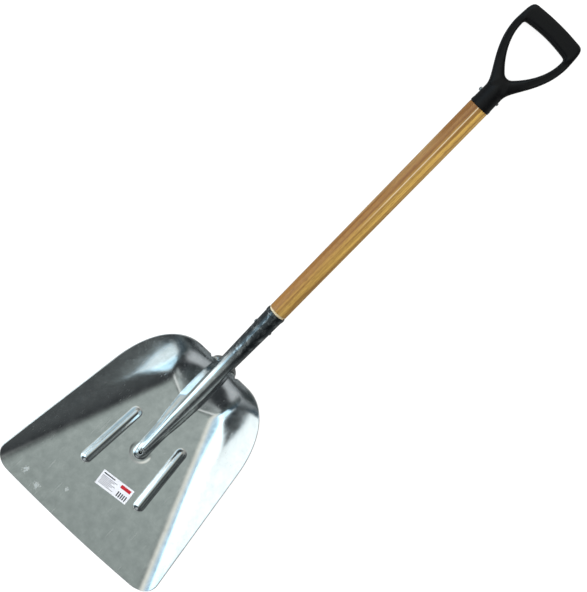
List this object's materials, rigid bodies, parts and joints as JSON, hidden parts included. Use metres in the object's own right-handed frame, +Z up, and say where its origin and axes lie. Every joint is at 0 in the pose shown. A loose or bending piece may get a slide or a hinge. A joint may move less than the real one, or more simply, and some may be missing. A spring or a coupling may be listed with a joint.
{
  "type": "snow shovel",
  "caption": "Snow shovel with a deep pressed aluminium scoop, a rolled socket, a straight wooden shaft and a black moulded D-grip, lying face up.",
  "frame": {"origin": "on the ground at the middle of the shovel's bounding box, where it lies face up on its heel strap and the end of its grip", "axes": "+Y along the shovel from the cutting edge to the grip, +X to the right seen from above with the grip away from the viewer, +Z up"},
  "size_m": [0.3962, 1.2741, 0.1335],
  "materials": {
    "pressed_aluminium": "bright rolled sheet, pressed, lightly scuffed",
    "rivet_steel": "zinc-plated, dull",
    "varnished_wood": "turned and varnished, lengthwise grain",
    "black_plastic": "moulded, satin",
    "label_paper": null
  },
  "bodies": {
    "root": {"blade": "pressed_aluminium", "back_strap": "pressed_aluminium", "tip_rivet": "rivet_steel", "socket_rivet": "rivet_steel", "grip_rivet": "rivet_steel", "shaft": "varnished_wood", "d_grip": "black_plastic", "label": "label_paper"}
  },
  "joints": []
}
